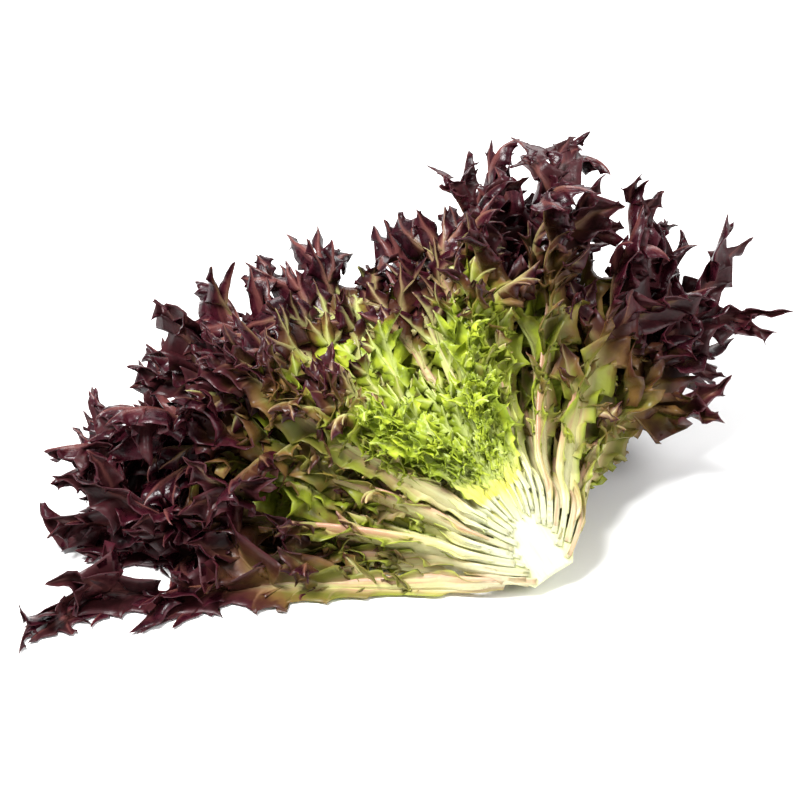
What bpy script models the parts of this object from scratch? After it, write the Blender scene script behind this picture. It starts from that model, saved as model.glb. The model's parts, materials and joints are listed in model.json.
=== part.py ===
"""Half a head of red curly endive, cut lengthwise through its core and lying on its outer leaves.

The head is drawn upright first: +Z runs up the stem from the trimmed butt, the cut is the plane Y = 0 and
every leaf grows behind it, at +Y. Leaves stand in rings. A ring is a bell-shaped surface around the stem, and
a leaf is a lobed blade lying on its ring's surface, so rings never cross and a ring's leaves stand side by
side. An empty then leans the finished half head back onto its outer leaves and sets it down on Z = 0.
"""

import math

import bmesh
import bpy
import numpy as np
from mathutils import Matrix, Vector

# The core: a trimmed stem that swells above the butt and closes in a dome.
BUTT_RADIUS = 0.0125
CORE_RADIUS = 0.0155
COLLAR_HEIGHT = 0.007
DOME_HEIGHT = 0.031
DOME_POINTS = 8
CORE_STEPS = 32
CUTTER_SIDE = 0.2

# How the half head lies: turned about Z, leaning back off the vertical, and tipped towards its long leaves.
TURN_DEG = 14.0
LEAN_DEG = 35.0
TIP_DEG = 25.0

# A ring's leaves stand evenly from just behind the cut on one side to just behind it on the other.
FIRST_LEAF_DEG = 12.0
LAST_LEAF_DEG = 168.0
DRIFT_DEG = 5.0
DRIFT_STEP = 2.4
DRIFT_START = 1.0
SIDE_GAP = 0.0012
BASE_GAP = 0.0016

# Outer leaves are longest at the -X side and shortest at the +X side.
SIDE_LENGTH = 0.18
LENGTH_VARIATION = 0.05
LENGTH_STEP_IN_RING = 5.1
LENGTH_STEP_BETWEEN_RINGS = 2.3

# The surface below presses the underside leaves up towards the stem, and the free +X side spreads.
WIDEST_DEG = 74.0
SAG_DEG = 3.6
ARCH_DEG = 8.0
PRESS_SHARPNESS = 16.0
SPREAD_DEG = 10.0

# The blade: a thick rib that thins out along the leaf and towards the margin. It is a stalk at first, is
# widest at its shoulder, and its sides step in and out in lobes.
BLADE_THICKNESS = 0.0012
RIB_THICKNESS = 0.0036
FULL_RIB_BASE = 0.0044
STALK_SHARE = 0.12
SHOULDER_SHARE = 0.70
TIP_SHARE = 0.72
BLUNTNESS = 0.31
LOBE_DEPTH = 0.16
LOBES_START_SHARE = 0.33
LEAST_WIDTH_SHARE = 0.5
WAVE_DEPTH = 0.0022
WAVY_WIDTH = 0.03
ACROSS = 4
ALONG = 8
INTEGRATION_STEPS = 16

# Ring name, leaves, length, leaning angle at the base and at the tip, widest half width, base half width,
# and where on the core it is attached (0 at the collar, 90 at the top of the dome).
RINGS = (
    ("outer_leaf", 6, 0.156, 74.0, 74.0, 0.036, 0.0044, 1.0),
    ("spreading_leaf", 5, 0.156, 68.0, 64.0, 0.036, 0.0044, 9.0),
    ("wide_leaf", 6, 0.155, 61.0, 55.0, 0.035, 0.0044, 17.0),
    ("upper_leaf", 5, 0.150, 54.0, 46.0, 0.034, 0.0042, 25.0),
    ("middle_leaf", 6, 0.142, 47.0, 37.0, 0.032, 0.0040, 33.0),
    ("cupped_leaf", 5, 0.136, 41.0, 29.0, 0.029, 0.0038, 41.0),
    ("back_leaf", 6, 0.120, 34.0, 21.0, 0.024, 0.0032, 49.0),
    ("inner_leaf", 5, 0.088, 27.0, 17.0, 0.018, 0.0028, 57.0),
    ("young_leaf", 4, 0.062, 20.0, 13.0, 0.012, 0.0022, 65.0),
    ("heart_leaf", 4, 0.043, 13.0, 9.0, 0.009, 0.0016, 73.5),
    ("bud_leaf", 3, 0.027, 6.0, 5.0, 0.006, 0.0010, 82.0),
)
COLORS = {
    "core": (0.86, 0.86, 0.62, 1.0),
    "outer_leaf": (0.13, 0.04, 0.07, 1.0),
    "spreading_leaf": (0.15, 0.05, 0.08, 1.0),
    "wide_leaf": (0.16, 0.06, 0.08, 1.0),
    "upper_leaf": (0.19, 0.09, 0.08, 1.0),
    "middle_leaf": (0.24, 0.15, 0.08, 1.0),
    "cupped_leaf": (0.28, 0.22, 0.08, 1.0),
    "back_leaf": (0.30, 0.30, 0.09, 1.0),
    "inner_leaf": (0.34, 0.42, 0.10, 1.0),
    "young_leaf": (0.42, 0.56, 0.10, 1.0),
    "heart_leaf": (0.52, 0.66, 0.12, 1.0),
    "bud_leaf": (0.70, 0.74, 0.16, 1.0),
}
LEAF_ROUGHNESS = 0.38
CORE_ROUGHNESS = 0.55


def clear_scene():
    for old in list(bpy.data.objects):
        bpy.data.objects.remove(old, do_unlink=True)


def new_collection(name):
    collection = bpy.data.collections.new(name)
    bpy.context.scene.collection.children.link(collection)
    return collection


def finish_of(name, roughness):
    """One Principled material for each kind of piece."""
    found = bpy.data.materials.get(name)
    if found:
        return found
    material = bpy.data.materials.new(name)
    material.use_nodes = True
    shader = material.node_tree.nodes["Principled BSDF"]
    shader.inputs["Base Color"].default_value = COLORS[name]
    shader.inputs["Roughness"].default_value = roughness
    shader.inputs["Metallic"].default_value = 0.0
    return material


def core_profile(attach_deg):
    """Radius and height on the dome, from 0 degrees at its widest to 90 at the top."""
    angle = math.radians(attach_deg)
    return CORE_RADIUS * math.cos(angle), COLLAR_HEIGHT + DOME_HEIGHT * math.sin(angle)


def make_core(collection, cutters):
    """A turned stem, sliced in half down its middle."""
    dome = [core_profile(90.0 * i / DOME_POINTS) for i in range(DOME_POINTS, -1, -1)]
    dome[0] = (0.0, dome[0][1])
    profile = [*dome, (BUTT_RADIUS, 0.0), (0.0, 0.0)]
    mesh = bpy.data.meshes.new("core")
    edges = [(i, i + 1) for i in range(len(profile) - 1)]
    mesh.from_pydata([(radius, 0.0, height) for radius, height in profile], edges, [])
    core = bpy.data.objects.new("core", mesh)
    collection.objects.link(core)
    turn = core.modifiers.new("turned", "SCREW")
    turn.steps = turn.render_steps = CORE_STEPS
    turn.use_merge_vertices = True
    turn.merge_threshold = 0.0001
    turn.use_smooth_shade = True
    core.data.materials.append(finish_of("core", CORE_ROUGHNESS))

    bpy.ops.mesh.primitive_cube_add(size=CUTTER_SIDE, location=(0.0, -CUTTER_SIDE / 2, 0.0))
    knife = bpy.context.object
    knife.name = "knife"
    knife.hide_render = True
    knife.display_type = "WIRE"
    for owner in list(knife.users_collection):
        owner.objects.unlink(knife)
    cutters.objects.link(knife)
    cut = core.modifiers.new("cut_face", "BOOLEAN")
    cut.operation = "DIFFERENCE"
    cut.object = knife
    return core, knife


def resting_turn():
    """The rotation that leans, tips and turns the upright half head into its resting pose."""
    tip = Matrix.Rotation(math.radians(-TIP_DEG), 4, "Y")
    lean = Matrix.Rotation(math.radians(-LEAN_DEG), 4, "X")
    turn = Matrix.Rotation(math.radians(TURN_DEG), 4, "Z")
    return turn @ lean @ tip


RESTING_TURN = resting_turn()


def widest_lean(azimuth):
    """The widest a leaf can lean at this azimuth, in degrees, before it meets the surface below."""
    sideways, behind, along_stem = RESTING_TURN.row[2][:3]
    drop = -(sideways * math.cos(azimuth) + behind * math.sin(azimuth))
    level = math.degrees(math.atan2(along_stem, drop)) + SAG_DEG - ARCH_DEG * drop**2
    free = WIDEST_DEG + SPREAD_DEG * max(0.0, math.cos(azimuth))
    return (level**-PRESS_SHARPNESS + free**-PRESS_SHARPNESS) ** (-1.0 / PRESS_SHARPNESS)


def lean_at(base_deg, tip_deg, azimuth, share):
    """How far a ring leans off the stem at this azimuth and share of its length, in radians."""
    lean = base_deg + (tip_deg - base_deg) * share
    outward = lean / WIDEST_DEG
    return math.radians(lean * (1.0 + outward * (widest_lean(azimuth) / WIDEST_DEG - 1.0)))


def ring_length(length, base_deg, azimuth):
    return length * (1.0 - SIDE_LENGTH * base_deg / WIDEST_DEG * math.cos(azimuth))


def ring_point(ring, azimuth, distance):
    """The point of a ring's surface at this azimuth and distance out from the core, and its outward normal."""
    _, _, length, base_deg, tip_deg, _, _, attach_deg = ring
    radius, height = core_profile(attach_deg)
    whole = ring_length(length, base_deg, azimuth)
    step = distance / INTEGRATION_STEPS
    for i in range(INTEGRATION_STEPS):
        lean = lean_at(base_deg, tip_deg, azimuth, (i + 0.5) * step / whole)
        radius += step * math.sin(lean)
        height += step * math.cos(lean)
    lean = lean_at(base_deg, tip_deg, azimuth, distance / whole)
    point = Vector((radius * math.cos(azimuth), radius * math.sin(azimuth), height))
    normal = Vector((math.cos(lean) * math.cos(azimuth), math.cos(lean) * math.sin(azimuth), -math.sin(lean)))
    return point, normal, radius


def half_width(widest, base, along):
    """A narrow stalk that widens to the leaf's shoulder and closes in a blunt tip."""
    widening = min(1.0, max(0.0, (along - STALK_SHARE) / (SHOULDER_SHARE - STALK_SHARE)))
    swell = 0.5 - 0.5 * math.cos(math.pi * widening)
    close = math.sqrt(max(0.0, 1.0 - max(0.0, (along - TIP_SHARE) / BLUNTNESS) ** 2))
    return (base + (widest - base) * swell) * close


def leaf_azimuth(ring_index, leaf_index, leaves):
    """Leaves stand evenly around their ring, and each ring is turned a little from the last."""
    step = (LAST_LEAF_DEG - FIRST_LEAF_DEG) / (leaves - 1)
    drift = DRIFT_DEG * math.sin(DRIFT_STEP * ring_index + DRIFT_START)
    return math.radians(FIRST_LEAF_DEG + step * leaf_index + drift)


def room_beside(ring_index, leaf_index, leaves):
    """Half the azimuth that a leaf may fill, which its neighbours and the cut leave it."""
    here = leaf_azimuth(ring_index, leaf_index, leaves)
    step = math.radians((LAST_LEAF_DEG - FIRST_LEAF_DEG) / (leaves - 1))
    return min(step / 2, here, math.pi - here)


def leaf_length(ring_index, leaf_index, azimuth):
    phase = LENGTH_STEP_IN_RING * leaf_index + LENGTH_STEP_BETWEEN_RINGS * ring_index
    varied = LENGTH_VARIATION * math.sin(phase)
    _, _, length, base_deg, *_ = RINGS[ring_index]
    return ring_length(length, base_deg, azimuth) * (1.0 + varied)


def make_leaf(collection, ring_index, leaf_index):
    ring = RINGS[ring_index]
    name, leaves, _, _, _, widest, base, _ = ring
    azimuth = leaf_azimuth(ring_index, leaf_index, leaves)
    room = room_beside(ring_index, leaf_index, leaves)
    whole = leaf_length(ring_index, leaf_index, azimuth)
    foot = ring_point(ring, azimuth, BASE_GAP)[0]

    sheet = bmesh.new()
    bmesh.ops.create_grid(sheet, x_segments=ACROSS, y_segments=ALONG, size=1.0)
    rib = sheet.verts.layers.deform.verify()
    for corner in sheet.verts:
        across = corner.co.x
        along = (corner.co.y + 1.0) / 2
        station = round(along * ALONG)
        distance = BASE_GAP + along * (whole - BASE_GAP)
        radius = ring_point(ring, azimuth, distance)[2]
        lobe = 1.0 + LOBE_DEPTH * (-1) ** station * min(1.0, along / LOBES_START_SHARE)
        half = half_width(widest, base, along) * lobe
        half = min(half, radius * room - SIDE_GAP / 2)
        half = max(half, base * LEAST_WIDTH_SHARE)
        point, normal, _ = ring_point(ring, azimuth + across * half / radius, distance)
        wave = WAVE_DEPTH * min(1.0, widest / WAVY_WIDTH)
        rise = wave * across**2 * along * (-1) ** (station // 2)
        corner.co = point + normal * rise - foot
        corner[rib][0] = max(0.0, 1.0 - abs(across) * 2) * (1.0 - along)

    mesh = bpy.data.meshes.new(f"{name}_{leaf_index + 1:02d}")
    sheet.to_mesh(mesh)
    sheet.free()
    mesh.shade_smooth()
    leaf = bpy.data.objects.new(mesh.name, mesh)
    leaf.vertex_groups.new(name="rib")
    leaf.location = foot
    thicken = leaf.modifiers.new("thickness", "SOLIDIFY")
    thicken.thickness = RIB_THICKNESS * base / FULL_RIB_BASE
    thicken.thickness_vertex_group = BLADE_THICKNESS / RIB_THICKNESS
    thicken.vertex_group = "rib"
    thicken.offset = 0.0
    thicken.use_even_offset = False
    leaf.data.materials.append(finish_of(name, LEAF_ROUGHNESS))
    collection.objects.link(leaf)
    return leaf


def corners_of(pieces):
    """Every corner of the finished pieces, in world space."""
    graph = bpy.context.evaluated_depsgraph_get()
    found = []
    for piece in pieces:
        finished = piece.evaluated_get(graph)
        mesh = finished.to_mesh()
        found += [finished.matrix_world @ corner.co for corner in mesh.vertices]
        finished.to_mesh_clear()
    return np.array(found)


def set_down(holder, pieces):
    """Moves the holder so that the head rests on Z = 0 with the middle of its box over the origin."""
    bpy.context.view_layer.update()
    corners = corners_of(pieces)
    low, high = corners.min(axis=0), corners.max(axis=0)
    holder.location = Vector((-(low[0] + high[0]) / 2, -(low[1] + high[1]) / 2, -low[2]))


def main():
    clear_scene()
    pieces = new_collection("half_endive")
    cutters = new_collection("cutters")
    holder = bpy.data.objects.new("head_holder", None)
    pieces.objects.link(holder)
    core, knife = make_core(pieces, cutters)
    leaves = [
        make_leaf(pieces, ring_index, leaf_index)
        for ring_index, ring in enumerate(RINGS)
        for leaf_index in range(ring[1])
    ]
    for piece in [core, knife, *leaves]:
        piece.parent = holder
    holder.matrix_world = RESTING_TURN
    set_down(holder, [core, *leaves])


main()
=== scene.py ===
"""Half a head of red curly endive: frilled leaves fanning out of a cut stem, lying on a pale surface.

Each leaf is drawn in the head's own frame, in which +Z runs up the stem, the knife's cut is the plane Y = 0
and the leaves grow at +Y. It follows the same ring of the head as its plain solid does. A leaf is a tree of
ribs: a thick midrib, lobes that branch off it and forks that branch off the lobes. Every rib carries a thin
blade on both sides, with hooked teeth and round bays between them. Lengths are in metres.
"""

import json
import math
from collections import namedtuple

import bpy
import numpy as np
from mathutils import Matrix, Vector


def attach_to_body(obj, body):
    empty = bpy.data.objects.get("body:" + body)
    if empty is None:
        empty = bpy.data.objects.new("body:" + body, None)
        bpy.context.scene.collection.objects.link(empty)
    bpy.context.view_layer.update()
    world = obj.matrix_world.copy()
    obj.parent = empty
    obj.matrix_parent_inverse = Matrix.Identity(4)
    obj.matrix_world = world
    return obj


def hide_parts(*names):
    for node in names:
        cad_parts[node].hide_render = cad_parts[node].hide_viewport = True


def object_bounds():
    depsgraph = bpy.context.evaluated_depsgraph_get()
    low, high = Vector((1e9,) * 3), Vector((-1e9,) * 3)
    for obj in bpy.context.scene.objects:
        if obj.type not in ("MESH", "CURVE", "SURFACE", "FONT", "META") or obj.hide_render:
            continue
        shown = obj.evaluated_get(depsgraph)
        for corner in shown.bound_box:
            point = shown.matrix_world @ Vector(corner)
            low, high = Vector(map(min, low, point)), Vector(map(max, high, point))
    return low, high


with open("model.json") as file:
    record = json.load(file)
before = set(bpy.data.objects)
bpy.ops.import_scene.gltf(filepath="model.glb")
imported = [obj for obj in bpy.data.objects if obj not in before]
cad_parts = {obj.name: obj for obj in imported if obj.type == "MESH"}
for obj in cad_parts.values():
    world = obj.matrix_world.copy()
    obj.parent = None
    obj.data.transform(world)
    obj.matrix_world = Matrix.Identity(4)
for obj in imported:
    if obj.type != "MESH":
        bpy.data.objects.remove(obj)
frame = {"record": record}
cad_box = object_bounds()

# The core and the rings of leaves, as the solids have them.
CORE_RADIUS = 0.0155
COLLAR_HEIGHT = 0.007
DOME_HEIGHT = 0.031
TURN_DEG = 14.0
LEAN_DEG = 35.0
TIP_DEG = 25.0
CUT_FACE_HEIGHT = 0.018
FIRST_LEAF_DEG = 12.0
LAST_LEAF_DEG = 168.0
DRIFT_DEG = 5.0
DRIFT_STEP = 2.4
DRIFT_START = 1.0
SIDE_LENGTH = 0.18
LENGTH_VARIATION = 0.05
LENGTH_STEP_IN_RING = 5.1
LENGTH_STEP_BETWEEN_RINGS = 2.3
WIDEST_DEG = 74.0
SAG_DEG = 3.6
ARCH_DEG = 8.0
PRESS_SHARPNESS = 16.0
SPREAD_DEG = 10.0

# A ring's number of solids, a leaf's length, how far it leans from the stem at its root and tip in
# degrees, the widths of its blade and of its rib, and how high on the core's dome it grows, in degrees.
Ring = namedtuple("Ring", "name solids length root_lean tip_lean blade rib attach")
RINGS = (
    Ring("outer_leaf", 6, 0.156, 74.0, 74.0, 0.036, 0.0044, 1.0),
    Ring("spreading_leaf", 5, 0.156, 68.0, 64.0, 0.036, 0.0044, 9.0),
    Ring("wide_leaf", 6, 0.155, 61.0, 55.0, 0.035, 0.0044, 17.0),
    Ring("upper_leaf", 5, 0.150, 54.0, 46.0, 0.034, 0.0042, 25.0),
    Ring("middle_leaf", 6, 0.142, 47.0, 37.0, 0.032, 0.0040, 33.0),
    Ring("cupped_leaf", 5, 0.136, 41.0, 29.0, 0.029, 0.0038, 41.0),
    Ring("back_leaf", 6, 0.120, 34.0, 21.0, 0.024, 0.0032, 49.0),
    Ring("inner_leaf", 5, 0.088, 27.0, 17.0, 0.018, 0.0028, 57.0),
    Ring("young_leaf", 4, 0.062, 20.0, 13.0, 0.012, 0.0022, 65.0),
    Ring("heart_leaf", 4, 0.043, 13.0, 9.0, 0.009, 0.0016, 73.5),
    Ring("bud_leaf", 3, 0.027, 6.0, 5.0, 0.006, 0.0010, 82.0),
)
SMALL_LEAF = 0.10

# The leaves drawn in each solid's place, the share by which they outgrow it towards the back of the head,
# where along a leaf its purple starts and is full, how far its green has turned from lime to dark olive,
# the length of a tooth, and how far behind the knife's cut the lower half of a side leaf stands, in
# radians.
Look = namedtuple("Look", "leaves longer purple_from purple_to olive tooth behind_cut")
LOOKS = {
    "outer_leaf": Look(2, 0.02, 0.40, 0.86, 1.00, 0.0150, 0.26),
    "spreading_leaf": Look(2, 0.03, 0.42, 0.88, 0.94, 0.0150, 0.42),
    "wide_leaf": Look(3, 0.04, 0.44, 0.92, 0.88, 0.0140, 0.22),
    "upper_leaf": Look(3, 0.08, 0.46, 0.94, 0.82, 0.0135, 0.70),
    "middle_leaf": Look(2, 0.10, 0.48, 0.98, 0.76, 0.0125, 0.26),
    "cupped_leaf": Look(2, 0.10, 0.50, 1.02, 0.66, 0.0115, 0.75),
    "back_leaf": Look(2, 0.13, 0.56, 1.10, 0.52, 0.0105, 0.34),
    "inner_leaf": Look(2, 0.05, 0.80, 1.15, 0.42, 0.0075, 0.50),
    "young_leaf": Look(3, 0.00, 2.00, 3.00, 0.12, 0.0060, 0.20),
    "heart_leaf": Look(3, 0.00, 2.00, 3.00, 0.05, 0.0050, 0.10),
    "bud_leaf": Look(2, 0.00, 2.00, 3.00, 0.00, 0.0040, 0.00),
}


def head_matrix():
    """From the head's own frame to the world, placed by the middle of the knife's cut."""
    tip = Matrix.Rotation(math.radians(-TIP_DEG), 4, "Y")
    lean = Matrix.Rotation(math.radians(-LEAN_DEG), 4, "X")
    turn = Matrix.Rotation(math.radians(TURN_DEG), 4, "Z")
    turned = turn @ lean @ tip
    cut = next(m for m in frame["record"]["mounts"] if m["name"] == "cut_face")
    place = Vector(cut["pos_m"]) - turned @ Vector((0.0, 0.0, CUT_FACE_HEIGHT))
    return Matrix.Translation(place) @ turned


HEAD = np.array(head_matrix())
UP_STEM = np.array([0.0, 0.0, 1.0])


def to_world(points):
    return points @ HEAD[:3, :3].T + HEAD[:3, 3]


def to_head(points):
    return (points - HEAD[:3, 3]) @ HEAD[:3, :3]


def smooth_step(low, high, value):
    share = np.clip((value - low) / (high - low), 0.0, 1.0)
    return share * share * (3.0 - 2.0 * share)


def unit(vectors):
    return vectors / np.maximum(np.linalg.norm(vectors, axis=-1, keepdims=True), 1e-12)


def turned_by(angle, first, second):
    """The first direction turned towards the second by an angle at each point."""
    return np.cos(angle)[..., None] * first + np.sin(angle)[..., None] * second


def widest_lean(azimuth):
    """The widest a leaf can lean at this azimuth, in degrees, before it meets the surface below."""
    sideways, behind, along_stem = HEAD[2, :3]
    drop = -(sideways * math.cos(azimuth) + behind * math.sin(azimuth))
    level = math.degrees(math.atan2(along_stem, drop)) + SAG_DEG - ARCH_DEG * drop**2
    free = WIDEST_DEG + SPREAD_DEG * max(0.0, math.cos(azimuth))
    return (level**-PRESS_SHARPNESS + free**-PRESS_SHARPNESS) ** (-1.0 / PRESS_SHARPNESS)


def ring_length(ring, azimuth):
    return ring.length * (1.0 - SIDE_LENGTH * ring.root_lean / WIDEST_DEG * math.cos(azimuth))


def leaf_place(ring_index, leaf_index):
    """A leaf's azimuth and length."""
    ring = RINGS[ring_index]
    step = (LAST_LEAF_DEG - FIRST_LEAF_DEG) / (ring.solids - 1)
    drift = DRIFT_DEG * math.sin(DRIFT_STEP * ring_index + DRIFT_START)
    azimuth = math.radians(FIRST_LEAF_DEG + step * leaf_index + drift)
    phase = LENGTH_STEP_IN_RING * leaf_index + LENGTH_STEP_BETWEEN_RINGS * ring_index
    return azimuth, ring_length(ring, azimuth) * (1.0 + LENGTH_VARIATION * math.sin(phase))


class Line:
    """A rib: its points, and the directions along it, across the blade beside it and out of that blade."""

    def __init__(self, at, points, along, across, out):
        self.at = at
        self.tables = points, along, across, out

    def frame_at(self, at):
        return tuple(
            np.stack([np.interp(at, self.at, table[:, axis]) for axis in range(3)], axis=1)
            for table in self.tables
        )


SPINE_STEPS = 96
LONGEST_SHARE = 1.2
ROOT_DEPTH = 0.012

# Leaves on the short side of the head rise at their roots and fall at their tips.
RIGHT_RISE = 0.34
RIGHT_FALL = 0.36

# A side leaf is rooted near the cut, stands behind it along its lower half and comes part of the way
# back.
ROOTED = 0.16
ROOT_FORWARD = 0.80
LEAST_BEHIND = 0.7
COMING_BACK = 0.35
BACK_FROM = 0.35

# Slow waves along a midrib: its azimuth wanders, it sways out of its ring, and it rolls about itself.
LATEST_WAVE_START = 6.0
WANDER = 0.08
WANDER_PITCH = 2.2
SWAY = 0.028
SWAY_PITCH = 5.5
ROLL = 0.25
ROLL_PITCH = 3.0

# Leaves beside the cut open towards it.
OPENING = 1.15
OPENING_SPAN = 0.65
OPENING_VARIATION = 0.12
OPEN_FROM = -0.05
OPEN_TO = 0.16


def leaf_azimuth(ring, azimuth, growth, rng):
    """The azimuth at each point of a midrib."""
    sideways = math.cos(azimuth)
    behind = LOOKS[ring.name].behind_cut * rng.uniform(LEAST_BEHIND, 1.0) * sideways**3
    rooted = smooth_step(0.0, ROOTED, growth)
    turn = azimuth + behind * rooted * (1.0 - COMING_BACK * smooth_step(BACK_FROM, 1.0, growth))
    from_cut = min(azimuth, math.pi - azimuth)
    forward = math.copysign(from_cut * ROOT_FORWARD, sideways) * sideways**4
    turn = turn - forward * (1.0 - rooted)
    wander = rng.uniform(-WANDER, WANDER)
    return turn + wander * np.sin(WANDER_PITCH * growth + rng.uniform(0.0, LATEST_WAVE_START)) * growth


def midrib_line(ring, azimuth, length, rng):
    """A leaf's midrib, up the surface of its ring."""
    attach = math.radians(ring.attach)
    at = np.linspace(-ROOT_DEPTH, length, SPINE_STEPS)
    share = np.clip(at / ring_length(ring, azimuth), 0.0, LONGEST_SHARE)
    lean = ring.root_lean + (ring.tip_lean - ring.root_lean) * share
    lean *= 1.0 + lean / WIDEST_DEG * (widest_lean(azimuth) / WIDEST_DEG - 1.0)
    lean *= 1.0 - max(0.0, math.cos(azimuth)) ** 2 * (RIGHT_RISE - RIGHT_FALL * share)
    lean = np.radians(lean)
    step = at[1] - at[0]
    radius = CORE_RADIUS * math.cos(attach) + np.cumsum(np.sin(lean)) * step
    radius -= ROOT_DEPTH * math.sin(lean[0])
    height = COLLAR_HEIGHT + DOME_HEIGHT * math.sin(attach) + np.cumsum(np.cos(lean)) * step
    height -= ROOT_DEPTH * math.cos(lean[0])
    growth = np.clip(at / length, 0.0, 1.0)
    turn = leaf_azimuth(ring, azimuth, growth, rng)
    radial = np.stack([np.cos(turn), np.sin(turn), 0.0 * turn], axis=1)
    points = radial * radius[:, None] + UP_STEM * height[:, None]
    out = np.cos(lean)[:, None] * radial - np.sin(lean)[:, None] * UP_STEM
    sway = np.sin(SWAY_PITCH * growth + rng.uniform(0.0, LATEST_WAVE_START)) * growth
    points += out * (SWAY * length * sway)[:, None]
    along = unit(np.gradient(points, axis=0))
    out = unit(out - along * np.sum(out * along, axis=1)[:, None])
    across = np.cross(out, along)
    from_cut = min(azimuth, math.pi - azimuth)
    opening = -math.cos(azimuth) * OPENING * math.exp(-((from_cut / OPENING_SPAN) ** 2))
    opening += rng.normal() * OPENING_VARIATION
    roll = opening * smooth_step(OPEN_FROM, OPEN_TO, at / length)
    roll = roll + ROLL * np.sin(ROLL_PITCH * growth + rng.uniform(0.0, LATEST_WAVE_START)) * growth
    return Line(at, points, along, turned_by(roll, across, out), turned_by(roll, out, -across))


BRANCH_STEPS = 20
LIFTED_BY = 0.5
CURL_POWER = 1.5

# Where a rib branches off its parent, to which side, at what angle along the blade and out of it, its
# length, its growth on the leaf's own scale, and the width of its rib.
Branch = namedtuple("Branch", "at side turn lift length growth rib")


def branch_line(parent, branch, bend, curl, twist):
    """A rib that leaves another at an angle, turns forward again, and curls out of the blade as it grows."""
    share = np.linspace(0.0, 1.0, BRANCH_STEPS)
    step = branch.length / (BRANCH_STEPS - 1)
    start, along, across, out = (table[0] for table in parent.frame_at(np.array([branch.at])))
    flat = turned_by(branch.side * (branch.turn - bend * share), along, across)
    height = branch.lift * smooth_step(0.0, LIFTED_BY, share) + curl * share**CURL_POWER
    way = turned_by(height, flat, out)
    steep = turned_by(height, out * np.ones_like(flat), -flat)
    beside = np.cross(steep, way)
    points = start + np.cumsum(way, axis=0) * step - way[0] * step
    spin = twist * share
    across_and_out = turned_by(spin, beside, steep), turned_by(spin, steep, -beside)
    return Line(share * branch.length, points, way, *across_and_out)


def grid_faces(rows, columns, start, closed_rows=False):
    """Quads of a grid of points, which face the way from its rows to its columns."""
    row = np.arange(rows if closed_rows else rows - 1)[:, None]
    column = np.arange(columns - 1)[None, :]
    here, after = row * columns + column, (row + 1) % rows * columns + column
    return np.stack([here, after, after + 1, here + 1], axis=-1).reshape(-1, 4) + start


# What the leaves' finish reads at each point: how purple, how much of a rib, how pale and how olive it is,
# how near the blade's edge or, on a midrib, its flank, where the finish paints shade, whether it lies on the
# leaf's outer face, and its place across and along its rib.
MARKS = ("purple", "rib", "pale", "olive", "edge", "back", "lane", "run")
BACK = MARKS.index("back")


class Build:
    """Collects the closed shells of one piece, with what its finish reads at each point."""

    def __init__(self):
        self.points, self.quads, self.marks = [], [], []
        self.count = 0

    def add(self, points, quads, marks):
        self.points.append(points)
        self.quads.append(quads)
        self.marks.append(marks)
        self.count += len(points)

    def shell(self, middle, thickness, marks):
        """A closed thin wall round a grid of points: its two faces and the strip that joins them."""
        rows, columns = middle.shape[:2]
        outward = unit(np.cross(np.gradient(middle, axis=0), np.gradient(middle, axis=1)))
        offset = outward * (thickness / 2)[..., None]
        start, size = self.count, rows * columns
        faces = grid_faces(rows, columns, start)
        edge = np.concatenate(
            [
                np.arange(rows) * columns,
                (rows - 1) * columns + np.arange(1, columns),
                np.arange(rows - 2, -1, -1) * columns + columns - 1,
                np.arange(columns - 2, 0, -1),
            ]
        )
        after = np.roll(edge, -1)
        rim = np.stack([edge, edge + size, after + size, after], axis=1) + start
        points = np.concatenate([(middle + offset).reshape(-1, 3), (middle - offset).reshape(-1, 3)])
        outer = marks.reshape(-1, marks.shape[-1])
        inner = outer.copy()
        outer[:, BACK] = 1.0
        quads = np.concatenate([faces, faces[:, ::-1] + size, rim])
        self.add(points, quads, np.concatenate([outer, inner]))

    def tube(self, rings, marks, root, tip):
        """A closed tube through a grid of points: its rows go round it and its columns along it."""
        rows, columns = rings.shape[:2]
        start, size = self.count, rows * columns
        quads = grid_faces(rows, columns, start, closed_rows=True)
        here = np.arange(rows) * columns
        after = np.roll(here, -1)
        last = columns - 1
        closing = [
            np.stack([after, here, np.full(rows, size), np.full(rows, size)], axis=1),
            np.stack([here + last, after + last, np.full(rows, size + 1), np.full(rows, size + 1)], axis=1),
        ]
        points = np.concatenate([rings.reshape(-1, 3), [root, tip]])
        flat_marks = marks.reshape(-1, marks.shape[-1])
        flat_marks = np.concatenate([flat_marks, flat_marks[[0, last]]])
        self.add(points, np.concatenate([quads] + [c + start for c in closing]), flat_marks)


FLOOR_CLEARANCE = 0.0012
FLOOR_SOFTNESS = 0.004
CUT_RADIUS = 0.022
OPEN_RADIUS = 0.090
CUT_LIMIT = 0.0004
FRONT_LIMIT = 0.011
FRONT_SOFTNESS = 0.25
EDGE_GROWTH = 0.011
EDGE_SOFTNESS = 0.008


def soften(beyond, softness):
    """How far to pull back what is beyond a limit, so that it keeps no more than the softness."""
    return beyond - softness * np.tanh(beyond / softness)


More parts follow.
